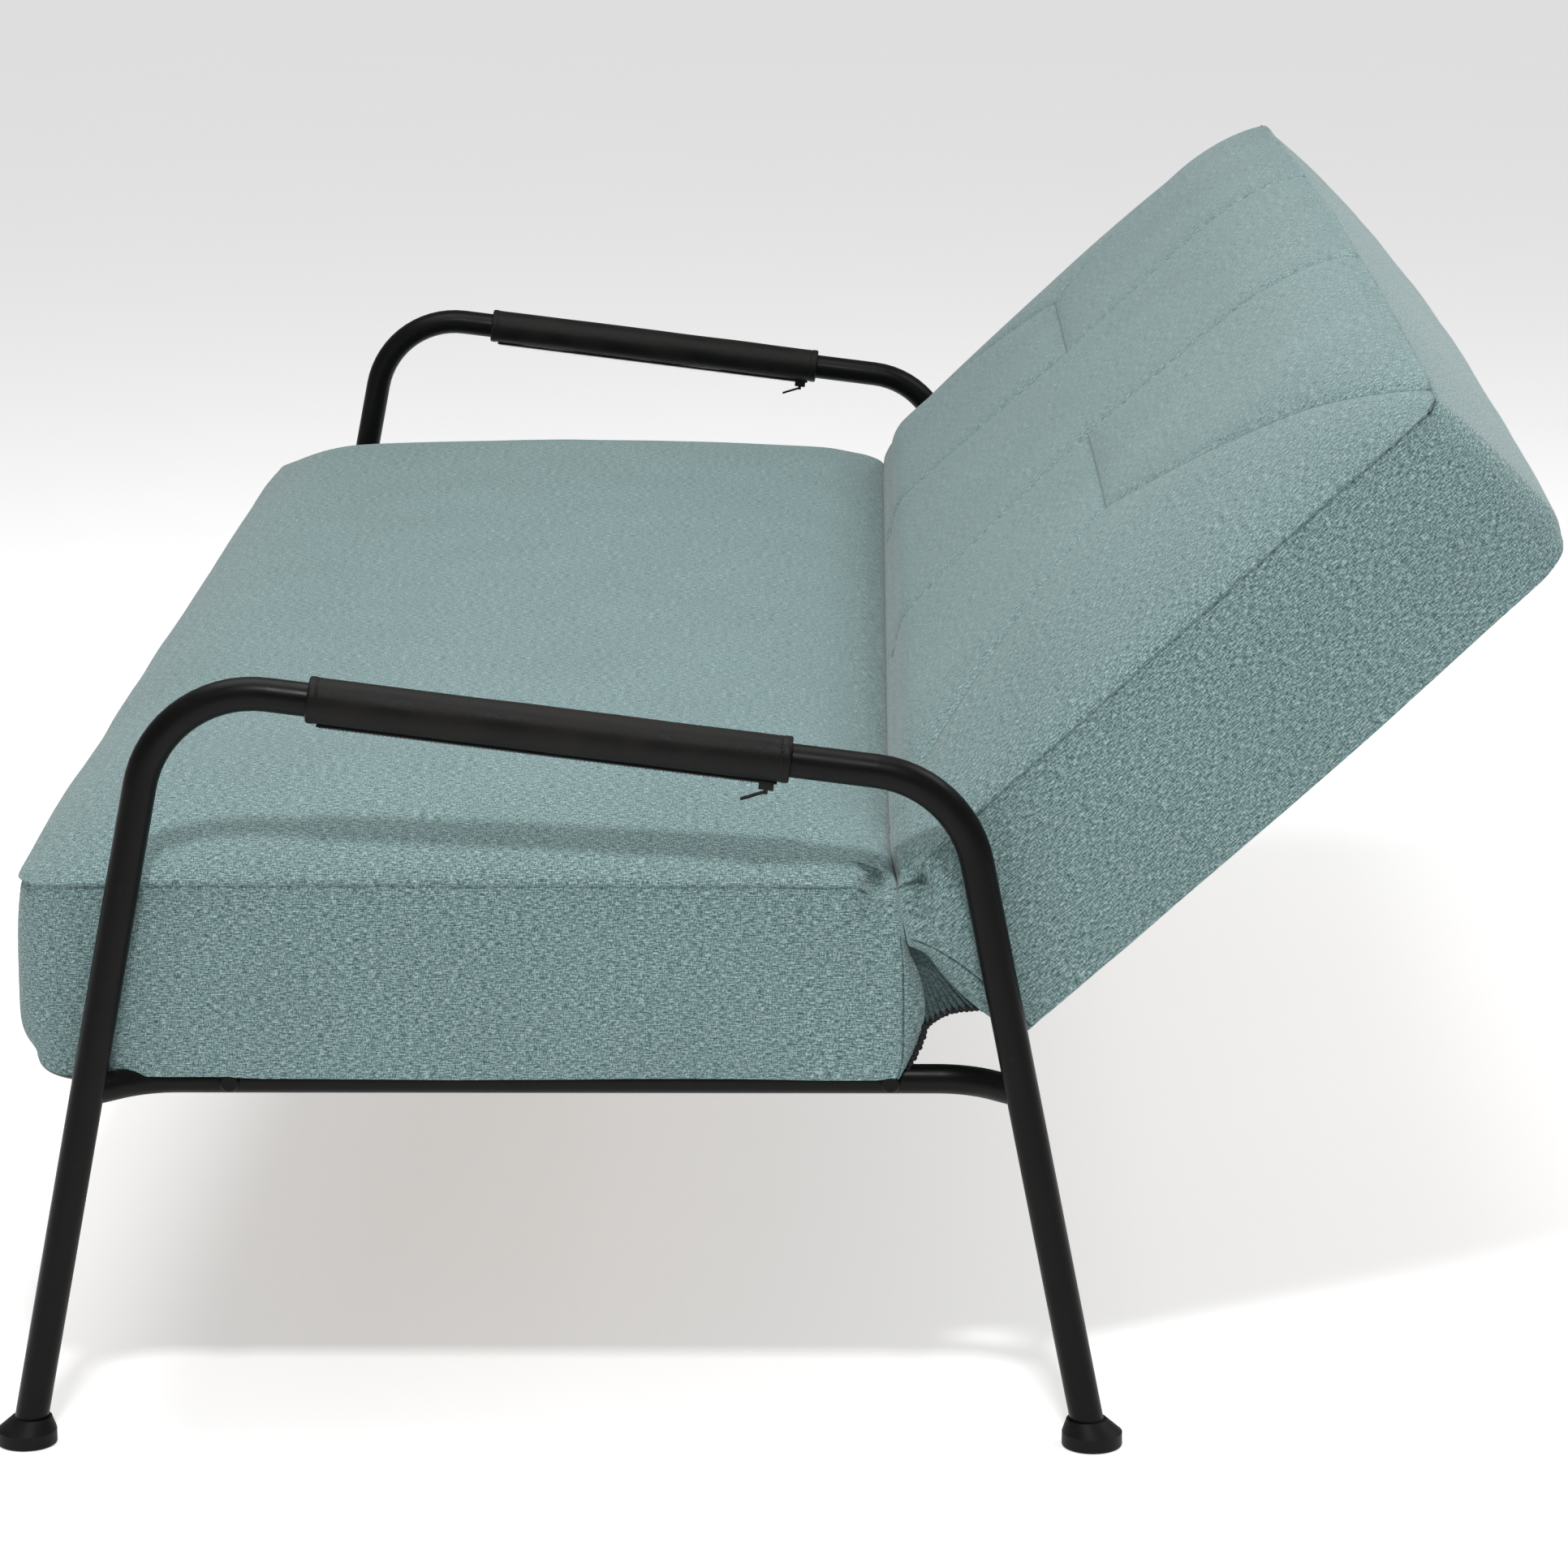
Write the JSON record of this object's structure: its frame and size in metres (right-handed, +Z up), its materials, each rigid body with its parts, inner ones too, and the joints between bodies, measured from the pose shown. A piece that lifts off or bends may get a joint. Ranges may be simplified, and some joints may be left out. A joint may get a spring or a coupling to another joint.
{
  "type": "futon sofa bed",
  "caption": "Three-position click-clack futon sofa bed: padded seat and folding back with a fitted cover, slatted steel frames, bent-tube arm frames with zipped sleeves.",
  "frame": {"origin": "centre of the object's box at floor level, back in the lounge position", "axes": "+X along the width towards the right arm, +Y towards the back, +Z up"},
  "size_m": [2.0026, 1.1542, 0.7889],
  "materials": {
    "frame_black": "satin",
    "foot_plastic": "matte",
    "sleeve_leatherette": "satin",
    "zip_nylon": "matte",
    "zip_metal": "gloss",
    "zinc_steel": "satin",
    "hinge_steel": "satin",
    "slat_wood": "satin",
    "holder_plastic": "matte",
    "foam": "matte",
    "cover_fabric": "matte"
  },
  "bodies": {
    "base": {"hinge_pivot_pins": "hinge_steel", "hinge_washers": "zinc_steel", "left_arm_sleeve": "sleeve_leatherette", "left_arm_tube": "frame_black", "left_front_foot_cap": "foot_plastic", "left_hinge_plate": "frame_black", "left_rear_foot_cap": "foot_plastic", "left_seat_side_tube": "frame_black", "left_side_rail": "frame_black", "left_sleeve_zip": "zip_nylon", "rail_bolts": "frame_black", "rail_nuts": "zinc_steel", "right_arm_sleeve": "sleeve_leatherette", "right_arm_tube": "frame_black", "right_front_foot_cap": "foot_plastic", "right_hinge_plate": "frame_black", "right_rear_foot_cap": "foot_plastic", "right_seat_side_tube": "frame_black", "right_side_rail": "frame_black", "right_sleeve_zip": "zip_nylon", "seat_brackets": "frame_black", "seat_cover": "cover_fabric", "seat_cross_tube": "frame_black", "seat_foam": "foam", "seat_front_tube": "frame_black", "seat_rear_tube": "frame_black", "seat_slat_1": "slat_wood", "seat_slat_2": "slat_wood", "seat_slat_3": "slat_wood", "seat_slat_4": "slat_wood", "seat_slat_5": "slat_wood", "seat_slat_6": "slat_wood", "seat_slat_7": "slat_wood", "seat_slat_8": "slat_wood", "seat_slat_holders": "holder_plastic"},
    "back": {"arm_rivets": "hinge_steel", "back_bottom_tube": "frame_black", "back_cover": "cover_fabric", "back_cross_tube": "frame_black", "back_foam": "foam", "back_slat_1": "slat_wood", "back_slat_2": "slat_wood", "back_slat_3": "slat_wood", "back_slat_4": "slat_wood", "back_slat_5": "slat_wood", "back_slat_6": "slat_wood", "back_slat_7": "slat_wood", "back_slat_8": "slat_wood", "back_slat_holders": "holder_plastic", "back_top_tube": "frame_black", "left_back_arm": "frame_black", "left_back_side_tube": "frame_black", "right_back_arm": "frame_black", "right_back_side_tube": "frame_black"},
    "left_pawl": {"left_pawl": "hinge_steel"},
    "left_zip_pull": {"left_zip_pull": "zip_metal"},
    "left_zip_slider": {"left_zip_slider": "zip_metal"},
    "right_pawl": {"right_pawl": "hinge_steel"},
    "right_zip_pull": {"right_zip_pull": "zip_metal"},
    "right_zip_slider": {"right_zip_slider": "zip_metal"}
  },
  "joints": [
    {"name": "back_recline", "type": "hinge", "parent": "base", "child": "back", "pos_m": [0, 0.10101, 0.4], "axis": [1, 0, 0], "range_deg": [-42.5, 35]},
    {"name": "left_zip_slide", "type": "slide", "parent": "base", "child": "left_zip_slider", "axis": [0, -0.9919, 0.1267], "range_m": [0, 0.32]},
    {"name": "left_zip_pull_swing", "type": "hinge", "parent": "left_zip_slider", "child": "left_zip_pull", "pos_m": [-0.97875, -0.00162, 0.49857], "axis": [1, 0, 0], "range_deg": [-20, 130]},
    {"name": "left_pawl_rock", "type": "hinge", "parent": "back", "child": "left_pawl", "pos_m": [-0.92825, 0.18581, 0.36984], "axis": [1, 0, 0], "range_deg": [-15, 15], "stiffness_Nm_per_rad": 0.02},
    {"name": "right_zip_slide", "type": "slide", "parent": "base", "child": "right_zip_slider", "axis": [0, -0.9919, 0.1267], "range_m": [0, 0.32]},
    {"name": "right_zip_pull_swing", "type": "hinge", "parent": "right_zip_slider", "child": "right_zip_pull", "pos_m": [0.97875, -0.00162, 0.49857], "axis": [1, 0, 0], "range_deg": [-20, 130]},
    {"name": "right_pawl_rock", "type": "hinge", "parent": "back", "child": "right_pawl", "pos_m": [0.92825, 0.18581, 0.36984], "axis": [1, 0, 0], "range_deg": [-15, 15], "stiffness_Nm_per_rad": 0.02}
  ]
}
